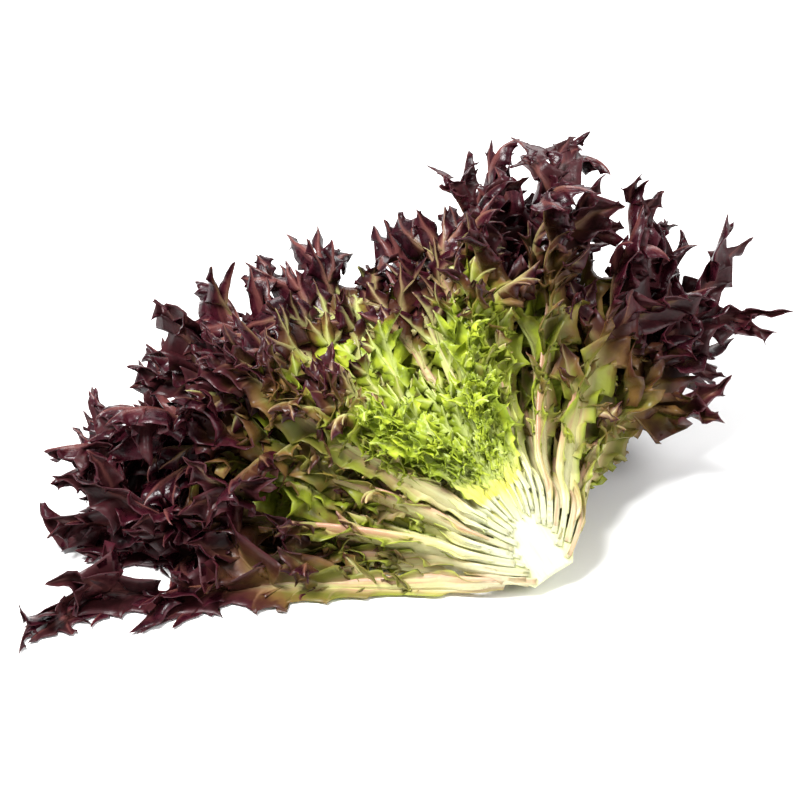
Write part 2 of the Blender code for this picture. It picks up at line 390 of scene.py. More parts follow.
def settle(points):
    """Presses a leaf up off the surface below, back behind the knife's cut and into the head's own size."""
    world = to_world(points)
    over = (world[..., 2] - FLOOR_CLEARANCE) / FLOOR_SOFTNESS
    pressed = FLOOR_CLEARANCE + FLOOR_SOFTNESS * np.exp(np.minimum(over - 1.0, 0.0))
    world[..., 2] = np.where(over < 1.0, pressed, world[..., 2])
    low, high = cad_box
    walls = [(0, low, -1.0), (0, high, 1.0), (1, low, -1.0), (1, high, 1.0), (2, high, 1.0)]
    for axis, corner, way in walls:
        beyond = way * (world[..., axis] - corner[axis]) - EDGE_GROWTH + EDGE_SOFTNESS
        world[..., axis] -= way * soften(np.maximum(beyond, 0.0), EDGE_SOFTNESS)
    head = to_head(world)
    away = smooth_step(CUT_RADIUS, OPEN_RADIUS, np.linalg.norm(head, axis=-1))
    limit = CUT_LIMIT + FRONT_LIMIT * away
    head[..., 1] += soften(np.maximum(-head[..., 1] - limit, 0.0), FRONT_SOFTNESS * limit)
    return head


FULL_TURN = 6.28
DENT_DEPTH = 0.000175
DENTS = ((0.011, 1.0), (0.006, 0.7), (0.0035, 0.4))
WAVES_OF_EACH = 3


def crinkle(points, rng):
    """Small dents of a living leaf, from crossed waves of a few lengths."""
    total = np.zeros(points.shape[:-1])
    for wavelength, share in DENTS:
        for _ in range(WAVES_OF_EACH):
            way = unit(rng.normal(size=3))
            phase = rng.uniform(0.0, FULL_TURN)
            total += share * np.sin(points @ way * (2 * np.pi / wavelength) + phase)
    return total * DENT_DEPTH


# Teeth: how many rows of points each has, how pointed they are, and the ranges of their sizes and hooks.
ROWS_IN_TOOTH = 6
ROWS_IN_SMALL_TOOTH = 4
FEWEST_TEETH = 2
TOOTH_SHARPNESS = 1.30
TOOTH_SIZES = (0.15, 1.15)
TOOTH_HOOKS = (-1.0, 1.4)
TOOTH_SWEEP = 0.35

# A blade's reach changes along it, and it folds, cups and ruffles as it leaves its rib.
REACH_CHANGE = 0.12
REACH_PITCH = 2.3
FOLDS = (-0.1, 0.8)
CUPS = (-0.3, 1.3)
RUFFLE = 0.45
RUFFLE_PITCHES = (0.7, 1.1)
BLADE_THICKNESS = 0.00055
EDGE_THINNING = 0.5
SMALL_LEAF_THINNING = 0.7

# Where a blade looks like its rib: along the rib's flank and down the vein of each tooth.
VEIN = 0.55
VEIN_WIDTH = 0.09
FLANK_FROM = 0.7
FLANK_SOFTNESS = 0.4
FINEST_FLANK = 0.0003

# How leaves differ: the purple comes later or sooner, and the green is more or less olive.
PURPLE_SHIFTS = (-0.06, 0.12)
OLIVE_SHIFTS = (-0.40, 0.10)
COPY_LATER = 0.17
COPY_GREENER = 0.20
STREAK_STARTS = (0.0, 5.0)
EDGE_SOONER = 0.10
PALE_SPAN = (0.02, 0.36)
OLIVE_AT_ROOT = 0.35
OLIVE_SPAN = (0.12, 0.60)

# Side ribs stop short of a lobe's tip.
SIDE_RIB_SHARE = 0.86
SIDE_RIB_SIZE = 0.7
SIDE_RIB_TAPER = 0.8
FINEST_RIB = 0.0001
SIDE_RIB_MARK = 0.60

# Lobes and the forks on them.
BENDS = (0.1, 0.6)
CURLS = (-0.8, 2.0)
TWISTS = (-1.0, 1.0)
LOBE_WIDTHS = (0.56, 0.92)
LOBE_FOOT = 0.6
LOBE_WIDEST_AT = 0.38
LOBE_TAPER = 0.95
LOBE_BAY = 0.62
LOBE_TEETH_DEG = (52.0, 24.0)
LOBE_GROWTH = 0.25
FORK_PLACES = (0.28, 0.62)
FORK_TURNS_DEG = (32.0, 52.0)
FORK_LENGTHS = (0.45, 0.70)
FORK_LIFTS = (-0.7, 0.7)
FORK_GROWTH = 0.12
FORK_RIB = 0.6

# A blade's width, its rib's half width and its frill along it, how many columns of points it has on each
# side, how far its rib's colour runs into it, how deep its bays are, and the angles of its teeth at its
# foot and tip.
Outline = namedtuple("Outline", "width stalk frill columns band bay teeth_deg")


class Leaf:
    """One leaf while it is made: its shells, the paths of its side ribs, and its tones."""

    def __init__(self, build, ring, copy, rng):
        self.build, self.rng = build, rng
        look = LOOKS[ring.name]
        later = rng.uniform(*PURPLE_SHIFTS) + COPY_LATER * copy
        self.purple_from, self.purple_to = look.purple_from + later, look.purple_to + later
        olive = look.olive + rng.uniform(*OLIVE_SHIFTS) - COPY_GREENER * copy
        self.olive = min(max(olive, 0.0), 1.0)
        self.tooth = look.tooth
        self.small = ring.length < SMALL_LEAF
        self.rows = ROWS_IN_SMALL_TOOTH if self.small else ROWS_IN_TOOTH
        self.start = rng.uniform(*STREAK_STARTS)
        self.rib_paths = []

    def marks(self, growth, rib, edge, lane=0.0, run=0.0):
        growth, rib, edge, lane, run = np.broadcast_arrays(growth, rib, edge, lane, run)
        purple = smooth_step(self.purple_from, self.purple_to, growth + EDGE_SOONER * edge)
        pale = 1.0 - smooth_step(*PALE_SPAN, growth)
        olive = self.olive * (OLIVE_AT_ROOT + (1.0 - OLIVE_AT_ROOT) * smooth_step(*OLIVE_SPAN, growth))
        return np.stack([purple, rib, pale, olive, edge, 0.0 * edge, lane, run + self.start], axis=-1)

    def half_blade(self, side, count, share, directions, outline):
        """One side of a blade from its rib outwards: its points, how like a rib each is, and its lane."""
        rng, columns = self.rng, outline.columns
        along, across, out = directions
        place = count + (0.5 if side > 0 else 0.0)
        number = np.round(place).astype(int)
        near = place - number
        teeth = int(count[-1]) + 2
        spike = (1.0 - 2.0 * np.abs(near)) ** TOOTH_SHARPNESS
        size = rng.uniform(*TOOTH_SIZES, teeth)[number]
        hook = rng.uniform(*TOOTH_HOOKS, teeth)[number]
        stalk = outline.stalk(share)
        reach = outline.width(share) * (outline.bay + (1.0 - outline.bay) * spike * size) + stalk
        reach *= 1.0 + REACH_CHANGE * np.sin(REACH_PITCH * place + rng.uniform(0.0, FULL_TURN))
        foot_deg, tip_deg = outline.teeth_deg
        angle = np.radians(foot_deg + (tip_deg - foot_deg) * share)
        angle += TOOTH_SWEEP * np.sin(2 * np.pi * near)

        q = (np.arange(1, columns + 1) / columns)[None, :]
        mid_q = q - 0.5 / columns
        fold = rng.uniform(*FOLDS)
        cup = rng.uniform(*CUPS)
        pitch = rng.uniform(*RUFFLE_PITCHES)
        ruffle = RUFFLE * np.sin(np.pi * place * pitch + rng.uniform(0.0, FULL_TURN))[:, None]
        rise = fold + (cup + ruffle) * mid_q + (hook * spike)[:, None] * mid_q**2
        level = turned_by(side * angle, along, across)[:, None, :]
        step = turned_by(outline.frill(share)[:, None] * rise, level, out[:, None, :])
        points = np.cumsum(step * (reach / columns)[:, None, None], axis=1)

        vein = VEIN * np.exp(-((near / VEIN_WIDTH) ** 2))[:, None] * (1.0 - q)
        off_flank = np.maximum(q * reach[:, None] - FLANK_FROM * stalk[:, None], 0.0)
        softness = FLANK_SOFTNESS * stalk + outline.band * (1.0 - share) + FINEST_FLANK
        flank = np.exp(-((off_flank / softness[:, None]) ** 2))
        return points, np.maximum(vein, flank), side * q * reach[:, None]

    def blade(self, line, length, growth, outline):
        """A blade along both sides of a rib. Gives the points along its middle and how far each grew."""
        teeth = max(FEWEST_TEETH, round(length / self.tooth))
        count = np.arange(teeth * self.rows + 1) / self.rows
        share = count / teeth
        columns = outline.columns
        start, *directions = line.frame_at(share * length)
        left = self.half_blade(-1.0, count, share, directions, outline)
        right = self.half_blade(1.0, count, share, directions, outline)
        seam = np.zeros((len(share), 1))
        middle = np.concatenate([left[0][:, ::-1], seam[..., None] * UP_STEM, right[0]], axis=1)
        middle += start[:, None, :]
        rib = np.concatenate([left[1][:, ::-1], seam + 1.0, right[1]], axis=1)
        lane = np.concatenate([left[2][:, ::-1], seam, right[2]], axis=1)
        edge = np.abs(np.arange(-columns, columns + 1) / columns)[None, :]
        normal = unit(np.cross(np.gradient(middle, axis=0), np.gradient(middle, axis=1)))
        middle = settle(middle + normal * (crinkle(middle, self.rng) * edge)[..., None])
        thickness = BLADE_THICKNESS * (SMALL_LEAF_THINNING if self.small else 1.0)
        thickness = thickness * (1.0 - EDGE_THINNING * edge) * np.ones_like(rib)
        grown = growth[0] + (growth[1] - growth[0]) * share
        marks = self.marks(grown[:, None], rib, edge, lane, (share * length)[:, None])
        self.build.shell(middle, thickness, marks)
        return middle[:, columns], grown

    def side_rib(self, path, growth, radius):
        kept = int(len(path) * SIDE_RIB_SHARE)
        share = np.linspace(0.0, 1.0, kept)
        taper = SIDE_RIB_SIZE * radius * (1.0 - share) ** SIDE_RIB_TAPER + FINEST_RIB
        self.rib_paths.append((path[:kept], taper, self.marks(growth[:kept], SIDE_RIB_MARK, 0.0)))

    def lobe(self, parent, branch, forks, fork=False):
        """A pointed lobe on its own rib, with smaller lobes that fork off it."""
        rng, rib, length = self.rng, branch.rib, branch.length
        bend, curl, twist = rng.uniform(*BENDS), rng.uniform(*CURLS), rng.uniform(*TWISTS)
        line = branch_line(parent, branch, bend, curl, twist)
        widest = length * rng.uniform(*LOBE_WIDTHS)

        def width(share):
            grown = LOBE_FOOT + (1.0 - LOBE_FOOT) * smooth_step(0.0, LOBE_WIDEST_AT, share)
            return widest * grown * (1.0 - share) ** LOBE_TAPER

        def stalk(share):
            return rib * 0.5 * (1.0 - share)

        columns = 3 if self.small or forks == 0 else 4
        outline = Outline(width, stalk, np.ones_like, columns, 1.5 * rib, LOBE_BAY, LOBE_TEETH_DEG)
        path, grown = self.blade(line, length, (branch.growth, branch.growth + LOBE_GROWTH), outline)
        if not fork:
            self.side_rib(path, grown, rib)
        side = 1.0 if rng.random() < 0.5 else -1.0
        for _ in range(forks):
            at = length * rng.uniform(*FORK_PLACES)
            turn = math.radians(rng.uniform(*FORK_TURNS_DEG))
            size = length * rng.uniform(*FORK_LENGTHS)
            lift = rng.uniform(*FORK_LIFTS)
            place = Branch(at, side, turn, lift, size, branch.growth + FORK_GROWTH, rib * FORK_RIB)
            self.lobe(line, place, 0, fork=True)
            side = -side


RIB_SWELL = 0.75
RIB_FOOT = 0.85
RIB_WIDEST_AT = 0.24
RIB_TIP = 0.08
RIB_TAPER = 1.2


def rib_half_width(base, growth):
    """Half the width of a midrib: it widens from its root like a strap, and tapers towards the leaf's tip."""
    grown = np.clip(growth, 0.0, 1.0)
    swell = RIB_FOOT + RIB_SWELL * smooth_step(0.0, RIB_WIDEST_AT, grown)
    return base * swell * (RIB_TIP + (1.0 - RIB_TIP) * (1.0 - grown) ** RIB_TAPER)


# The blade beside a midrib: narrow at its foot, then broad, and drawn in at its tip.
RIB_SIZES = (0.75, 1.50)
BEYOND_MIDRIB = 0.20
BESIDE_MIDRIB = 0.66
BESIDE_SMALL_MIDRIB = 0.80
BLADE_FOOT = 0.07
BLADE_WING = 0.17
WING_SPAN = (0.03, 0.18)
BLADE_SPAN = (0.20, 0.58)
BLADE_DRAWN_IN = 0.3
DRAWN_IN_FROM = 0.8
TIP_POWER = 12
FRILL_FOOT = 0.60
FRILL_SPAN = (0.15, 0.55)
LEAF_BAY = 0.60
LEAF_TEETH_DEG = (60.0, 36.0)
LEAF_BAND = 0.001

# The lobes along a midrib, which grow and spread wilder up the leaf.
LOBES_FROM = 0.20
FIRST_LOBE_SHIFT = 0.06
LOBES_TO = 0.97
LOBE_SIZE = 0.40
LOBE_SWELL = 0.88
LOBE_SWELL_SPAN = (0.20, 0.62)
LOBE_SIZES = (0.75, 1.25)
LOBE_TURN_DEG = 60.0
SMALL_LEAF_LOBE_TURN_DEG = 44.0
LOBE_FORWARD_DEG = 28.0
LOBE_TURN_SHIFTS_DEG = (-8.0, 8.0)
LOBE_LIFTS = (0.10, 0.75)
LOBE_RIB = 0.30
FINEST_LOBE_RIB = 0.0003
FORKED_LOBE = 0.014
ONE_FORK_CHANCE = 0.7
LOBE_STEP = 0.46
WILD_LOBE_STEP = 0.24
LOBE_STEPS = (0.8, 1.2)


def add_lobes(leaf, line, side, widest, base, midrib):
    """The lobes down one side of a midrib, lifted out of the blade to one face and the other in turn."""
    rng = leaf.rng
    at = midrib * (LOBES_FROM + rng.uniform(0.0, FIRST_LOBE_SHIFT))
    up = 1.0 if rng.random() < 0.5 else -1.0
    turn_deg = SMALL_LEAF_LOBE_TURN_DEG if leaf.small else LOBE_TURN_DEG
    while at < midrib * LOBES_TO:
        growth = at / midrib
        wild = smooth_step(*FRILL_SPAN, growth)
        size = widest * (LOBE_SIZE + LOBE_SWELL * smooth_step(*LOBE_SWELL_SPAN, growth))
        size *= rng.uniform(*LOBE_SIZES)
        turn = math.radians(turn_deg - LOBE_FORWARD_DEG * growth + rng.uniform(*LOBE_TURN_SHIFTS_DEG))
        lift = up * rng.uniform(*LOBE_LIFTS) * wild
        rib = LOBE_RIB * rib_half_width(base, growth) + FINEST_LOBE_RIB
        forks = 0
        if size >= FORKED_LOBE:
            forks = 1 if rng.random() < ONE_FORK_CHANCE else 2
        leaf.lobe(line, Branch(at, side, turn, lift, size, growth, rib), forks)
        at += widest * (LOBE_STEP + WILD_LOBE_STEP * wild) * rng.uniform(*LOBE_STEPS)
        up = -up


def grow_leaf(build, ring, copy, azimuth, length, rng):
    """A whole leaf: its midrib, the blade beside it and the lobes that branch off it."""
    leaf = Leaf(build, ring, copy, rng)
    widest, base = ring.blade, ring.rib * rng.uniform(*RIB_SIZES)
    midrib = length - widest * BEYOND_MIDRIB
    line = midrib_line(ring, azimuth, midrib, rng)
    beside = widest * (BESIDE_SMALL_MIDRIB if leaf.small else BESIDE_MIDRIB)

    def width(share):
        blade = 1.0 - BLADE_FOOT - BLADE_WING
        grown = BLADE_FOOT + BLADE_WING * smooth_step(*WING_SPAN, share)
        grown += blade * smooth_step(*BLADE_SPAN, share)
        drawn_in = 1.0 - BLADE_DRAWN_IN * smooth_step(DRAWN_IN_FROM, 1.0, share)
        return beside * grown * drawn_in * (1.0 - share**TIP_POWER)

    def stalk(share):
        return rib_half_width(base, share)

    def frill(share):
        return FRILL_FOOT + (1.0 - FRILL_FOOT) * smooth_step(*FRILL_SPAN, share)

    columns = 4 if leaf.small else 5
    outline = Outline(width, stalk, frill, columns, LEAF_BAND, LEAF_BAY, LEAF_TEETH_DEG)
    leaf.blade(line, midrib, (0.0, 1.0), outline)
    for side in (-1.0, 1.0):
        add_lobes(leaf, line, side, widest, base, midrib)
    add_midrib(leaf, line, base, midrib)
    return leaf


MIDRIB_RINGS = 60
MIDRIB_SIDES = 14
ROOT_SHARES = (0.5, 1.0)
OUTER_DEPTH = 0.46
INNER_DEPTH = 0.26
GROOVE_DEPTH = 0.16
GROOVE_WIDTH = 0.35
MIDRIB_POINT = 1.5


def add_midrib(leaf, line, base, length):
    """A thick flat stalk, round on the outside of the leaf and hollowed along its inside."""
    at = np.linspace(-ROOT_DEPTH * leaf.rng.uniform(*ROOT_SHARES), length, MIDRIB_RINGS)
    growth = at / length
    centre, along, across, out = line.frame_at(at)
    half = rib_half_width(base, growth)
    turn = np.linspace(0.0, 2.0 * np.pi, MIDRIB_SIDES, endpoint=False)
    wide, deep = np.cos(turn), np.sin(turn)
    groove = GROOVE_DEPTH * np.exp(-((wide / GROOVE_WIDTH) ** 2)) * (deep < -0.5)
    depth = np.where(deep > 0, OUTER_DEPTH * deep, INNER_DEPTH * deep + groove)
    rings = centre[None] + wide[:, None, None] * (across * half[:, None])[None]
    rings = settle(rings + depth[:, None, None] * (out * half[:, None])[None])
    tip = rings[:, -1].mean(axis=0) + along[-1] * half[-1] * MIDRIB_POINT
    # A midrib's flanks are given as its edge, so the finish turns them towards tan on an older leaf: painted
    # shade that makes the stalk look round.
    marks = leaf.marks(growth[None], 1.0, (wide**2)[:, None], wide[:, None] * half[None], at[None])
    leaf.build.tube(rings, marks, rings[:, 0].mean(axis=0), tip)


def rib_sweep():
    """Geometry Nodes that turn each side rib's path into a tapering stalk."""
    tree = bpy.data.node_groups.new("rib_sweep", "GeometryNodeTree")
    face = tree.interface
    face.new_socket("Geometry", in_out="INPUT", socket_type="NodeSocketGeometry")
    sides = face.new_socket("Sides", in_out="INPUT", socket_type="NodeSocketInt")
    finish = face.new_socket("Finish", in_out="INPUT", socket_type="NodeSocketMaterial")
    face.new_socket("Geometry", in_out="OUTPUT", socket_type="NodeSocketGeometry")
    new, link = tree.nodes.new, tree.links.new
    given, result = new("NodeGroupInput"), new("NodeGroupOutput")
    to_curve = new("GeometryNodeMeshToCurve")
    thickness = new("GeometryNodeInputNamedAttribute")
    thickness.data_type = "FLOAT"
    thickness.inputs["Name"].default_value = "thickness"
    set_radius = new("GeometryNodeSetCurveRadius")
    radius = new("GeometryNodeInputRadius")
    circle = new("GeometryNodeCurvePrimitiveCircle")
    circle.inputs["Radius"].default_value = 1.0
    sweep = new("GeometryNodeCurveToMesh")
    sweep.inputs["Fill Caps"].default_value = True
    smooth = new("GeometryNodeSetShadeSmooth")
    realize = new("GeometryNodeRealizeInstances")
    paint = new("GeometryNodeSetMaterial")
    link(given.outputs["Geometry"], to_curve.inputs["Mesh"])
    link(to_curve.outputs["Curve"], set_radius.inputs["Curve"])
    link(thickness.outputs["Attribute"], set_radius.inputs["Radius"])
    link(given.outputs["Sides"], circle.inputs["Resolution"])
    link(set_radius.outputs["Curve"], sweep.inputs["Curve"])
    link(circle.outputs["Curve"], sweep.inputs["Profile Curve"])
    link(radius.outputs["Radius"], sweep.inputs["Scale"])
    link(sweep.outputs["Mesh"], smooth.inputs["Geometry"])
    link(smooth.outputs["Geometry"], realize.inputs["Geometry"])
    link(realize.outputs["Geometry"], paint.inputs["Geometry"])
    link(given.outputs["Finish"], paint.inputs["Material"])
    link(paint.outputs["Geometry"], result.inputs["Geometry"])
    return tree, sides.identifier, finish.identifier


def write_marks(mesh, marks):
    for number, mark in enumerate(MARKS):
        layer = mesh.attributes.new(mark, "FLOAT", "POINT")
        layer.data.foreach_set("value", np.ascontiguousarray(marks[:, number], dtype=np.float32))


def build_mesh(name, build, material):
    """A mesh from a build's quads, some of which end in a point and become triangles."""
    mesh = bpy.data.meshes.new(name)
    faces = [tuple(dict.fromkeys(face)) for face in np.concatenate(build.quads).tolist()]
    mesh.from_pydata(to_world(np.concatenate(build.points)).tolist(), [], faces)
    write_marks(mesh, np.concatenate(build.marks))
    mesh.materials.append(material)
    mesh.shade_smooth()
    return mesh


def new_object(name, data):
    piece = bpy.data.objects.new(name, data)
    bpy.context.scene.collection.objects.link(piece)
    return piece


RIB_SIDES = 5


def sweep_ribs(paths, sweep, material):
    """All side ribs of a leaf, as one mesh."""
    points, edges = [], []
    for path, _, _ in paths:
        first = sum(len(p) for p in points)
        points.append(to_world(path))
        edges += [(first + i, first + i + 1) for i in range(len(path) - 1)]
    mesh = bpy.data.meshes.new("ribs")
    mesh.from_pydata(np.concatenate(points).tolist(), edges, [])
    thickness = mesh.attributes.new("thickness", "FLOAT", "POINT")
    radii = np.concatenate([radius for _, radius, _ in paths])
    thickness.data.foreach_set("value", radii.astype(np.float32))
    write_marks(mesh, np.concatenate([marks for _, _, marks in paths]))
    lines = new_object("rib_lines", mesh)
    tree, sides, finish = sweep
    nodes = lines.modifiers.new("ribs", "NODES")
    nodes.node_group = tree
    nodes[sides] = RIB_SIDES
    nodes[finish] = material
    bpy.context.view_layer.update()
    swept = bpy.data.meshes.new_from_object(lines.evaluated_get(bpy.context.evaluated_depsgraph_get()))
    bpy.data.objects.remove(lines)
    return swept


RIGHT_STRETCH = 0.15
TALLEST_AZIMUTH = math.radians(100.0)
TALLEST_SHARPNESS = 1.5
LONGER_EVERYWHERE = 0.25
COPY_SPREADS = (0.4, 1.0)
COPY_SPREAD = 0.30
COPY_SHRINK = 0.11


def leaf_piece(ring_index, leaf_index, sweep, material):
    """The frilled leaves in place of one plain solid: a real head has more leaves than the solids."""
    ring = RINGS[ring_index]
    look = LOOKS[ring.name]
    node = f"{ring.name}_{leaf_index + 1:02d}"
    rng = np.random.default_rng(1000 * ring_index + 10 * leaf_index + 7)
    azimuth, length = leaf_place(ring_index, leaf_index)
    tallest = max(0.0, math.cos(azimuth - TALLEST_AZIMUTH)) ** TALLEST_SHARPNESS
    length *= 1.0 + look.longer * (LONGER_EVERYWHERE + (1.0 - LONGER_EVERYWHERE) * tallest)
    length *= 1.0 + RIGHT_STRETCH * max(0.0, math.cos(azimuth)) ** 3
    large = ring.length >= SMALL_LEAF
    build, paths = Build(), []
    for copy in range(look.leaves):
        aside = rng.uniform(*COPY_SPREADS) * COPY_SPREAD * (copy if large else 1.0)
        to_left = azimuth < math.pi / 2 if large else (leaf_index + copy) % 2
        turned = azimuth + aside * (1.0 if to_left else -1.0)
        leaf = grow_leaf(build, ring, copy, turned, length * (1.0 - COPY_SHRINK * copy), rng)
        paths += leaf.rib_paths
    piece = new_object(f"frilled_{node}", build_mesh(f"frilled_{node}", build, material))
    ribs = new_object("ribs", sweep_ribs(paths, sweep, material))
    with bpy.context.temp_override(active_object=piece, selected_editable_objects=[piece, ribs]):
        bpy.ops.object.join()
    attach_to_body(piece, "root")
    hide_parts(node)


STEM_RINGS = 44
STEM_ARC_POINTS = 44
STEM_CUT_POINTS = 28
STEM_HEIGHT = 0.045
STEM_RADIUS = 0.0142
STEM_WIDEST = 0.25
STEM_BUTT = 0.62
STEM_TOP = 0.995
STEM_RIDGES = 11
STEM_RIDGE = 0.07
FINE_RIDGES = 23
FINE_RIDGE = 0.03
STEM_RECESS = 0.0006
KNIFE_MARK = 0.00022
FINE_KNIFE_MARK = 0.00014
BUTT_RAGGED = 0.0008
BUTT_BULGE = 0.0004
STEM_POINT = 0.001


def stem_piece(material):
    """The cut stem: a ridged half spindle that the ribs grow from, with a slightly rough cut face."""
    height = np.linspace(0.0, 1.0, STEM_RINGS)
    below = np.clip(height / STEM_WIDEST, 0.0, 1.0)
    above = np.clip((height - STEM_WIDEST) / (1.0 - STEM_WIDEST), 0.0, STEM_TOP)
    swell = STEM_BUTT + (1.0 - STEM_BUTT) * np.sin(0.5 * np.pi * below)
    radius = STEM_RADIUS * swell * np.sqrt(1.0 - above**2)
    turn = np.linspace(0.0, np.pi, STEM_ARC_POINTS)
    across = np.linspace(-1.0, 1.0, STEM_CUT_POINTS + 2)[1:-1]
    loops, off_axis = [], []
    for share, r in zip(height, radius):
        ridges = STEM_RIDGE * np.sin(STEM_RIDGES * turn + 6.0 * share)
        ridges += FINE_RIDGE * np.sin(FINE_RIDGES * turn + 11.0 * share)
        ridged = r * (1.0 + ridges)
        arc = np.stack([ridged * np.cos(turn), STEM_RECESS + ridged * np.sin(turn)], axis=1)
        rough = KNIFE_MARK * np.sin(9.0 * across + 14.0 * share)
        rough += FINE_KNIFE_MARK * np.sin(31.0 * across - 5.0 * share)
        loop = np.concatenate([arc, np.stack([across * r, STEM_RECESS + rough], axis=1)])
        ragged = BUTT_RAGGED * np.cos(3.0 * loop[:, 0] / STEM_RADIUS) * (1.0 - share) ** 8
        loops.append(np.column_stack([loop, share * STEM_HEIGHT + ragged]))
        off_axis.append(np.abs(loop[:, 0]) / STEM_RADIUS)
    rings = np.stack(loops, axis=1)
    marks = np.zeros(rings.shape[:2] + (len(MARKS),))
    marks[..., MARKS.index("edge")] = height[None]
    marks[..., MARKS.index("lane")] = rings[..., 0]
    marks[..., MARKS.index("run")] = rings[..., 2]
    marks[..., MARKS.index("rib")] = np.stack(off_axis, axis=1)
    build = Build()
    butt = np.array([0.0, 0.5 * STEM_RADIUS * STEM_BUTT, -BUTT_BULGE])
    build.tube(rings, marks, butt, rings[:, -1].mean(axis=0) + UP_STEM * STEM_POINT)
    stem = new_object("cut_stem", build_mesh("cut_stem", build, material))
    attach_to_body(stem, "root")
    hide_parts("core")


class Value:
    """A shader socket that adds Math nodes when it is used in arithmetic."""

    def __init__(self, finish, socket):
        self.finish, self.socket = finish, socket

    def _math(self, operation, first, second):
        return self.finish.add("ShaderNodeMath", {"operation": operation}, {0: first, 1: second})

    def __add__(self, other):
        return self._math("ADD", self, other)

    def __sub__(self, other):
        return self._math("SUBTRACT", self, other)

    def __rsub__(self, other):
        return self._math("SUBTRACT", other, self)

    def __mul__(self, other):
        return self._math("MULTIPLY", self, other)

    def __radd__(self, other):
        return self._math("ADD", other, self)

    def __rmul__(self, other):
        return self._math("MULTIPLY", other, self)

    def clamp(self):
        return self.finish.add("ShaderNodeClamp", {}, {"Value": self})

    def step(self, low, high):
        links = {"Value": self, "From Min": low, "From Max": high}
        return self.finish.add("ShaderNodeMapRange", {"interpolation_type": "SMOOTHSTEP"}, links)


class Finish:
    """A material being made. One method adds any node, its settings first and then what feeds it."""

    def __init__(self, name):
        self.material = bpy.data.materials.new(name)
        self.material.use_nodes = True
        self.tree = self.material.node_tree
        self.shader = self.tree.nodes["Principled BSDF"]
        self.output = self.tree.nodes["Material Output"]

    def add(self, kind, settings, links, output=0):
        node = self.tree.nodes.new(kind)
        for name, setting in settings.items():
            setattr(node, name, setting)
        for name, source in links.items():
            self.feed(node.inputs[name], source)
        return Value(self, node.outputs[output])

    def feed(self, socket, source):
        if isinstance(source, Value):
            self.tree.links.new(source.socket, socket)
        else:
            socket.default_value = source

    def mark(self, name):
        return self.add("ShaderNodeAttribute", {"attribute_name": name}, {}, "Fac")

    def noise(self, scale, detail=3.0):
        where = self.add("ShaderNodeTexCoord", {}, {}, "Object")
        links = {"Vector": where, "Scale": scale, "Detail": detail, "Roughness": 0.55}
        return self.add("ShaderNodeTexNoise", {}, links, "Fac")

    def streaks(self):
        """Fibres that run along a rib, from its lane and run."""
        place = {"X": self.mark("lane") * FIBRES_ACROSS, "Y": self.mark("run") * FIBRES_ALONG, "Z": 0.0}
        where = self.add("ShaderNodeCombineXYZ", {}, place)
        links = {"Vector": where, "Scale": 1.0, "Detail": 2.0, "Roughness": 0.5}
        return self.add("ShaderNodeTexNoise", {}, links, "Fac")

    def mix(self, share, first, second):
        colours = [(*c, 1.0) if isinstance(c, tuple) else c for c in (first, second)]
        links = {"Factor": share, 6: colours[0], 7: colours[1]}
        return self.add("ShaderNodeMix", {"data_type": "RGBA"}, links, 2)

    def surface(self, colour, roughness):
        self.feed(self.shader.inputs["Base Color"], colour)
        self.feed(self.shader.inputs["Roughness"], roughness)

    def relief(self, height, distance, strength):
        links = {"Height": height, "Strength": strength, "Distance": distance}
        self.feed(self.shader.inputs["Normal"], self.add("ShaderNodeBump", {}, links, "Normal"))


LIME = (0.52, 0.60, 0.045)
DEEP_LIME = (0.13, 0.21, 0.020)
YELLOW = (0.84, 0.78, 0.14)
OLIVE = (0.085, 0.068, 0.016)
LIGHT_OLIVE = (0.27, 0.31, 0.04)
RUSSET = (0.16, 0.085, 0.026)
BROWN = (0.060, 0.020, 0.010)
PURPLE = (0.011, 0.0016, 0.0036)
BRIGHT_PURPLE = (0.060, 0.0060, 0.0130)
MAUVE = (0.050, 0.014, 0.013)
ROSE_BROWN = (0.180, 0.058, 0.050)
CREAM = (0.74, 0.69, 0.42)
WHITE = (0.70, 0.70, 0.48)
PALE_STRAW = (0.62, 0.63, 0.34)
PALE_GREEN = (0.62, 0.66, 0.26)
RIB_GREEN = (0.62, 0.68, 0.24)
RIB_TAN = (0.56, 0.31, 0.21)
RIB_BROWN = (0.20, 0.080, 0.045)
RIB_OCHRE = (0.38, 0.22, 0.11)
RIB_PURPLE = (0.150, 0.045, 0.042)
GLOW = (0.62, 0.76, 0.10)
GLOW_SHARE = 0.25
FIBRES_ACROSS = 900.0
FIBRES_ALONG = 45.0

# The patches, blotches, speckle and grain of a leaf, in features per metre.
PATCHES = 38.0
BLOTCHES = 110.0
SPECKLE = 480.0
GRAIN = 1400.0


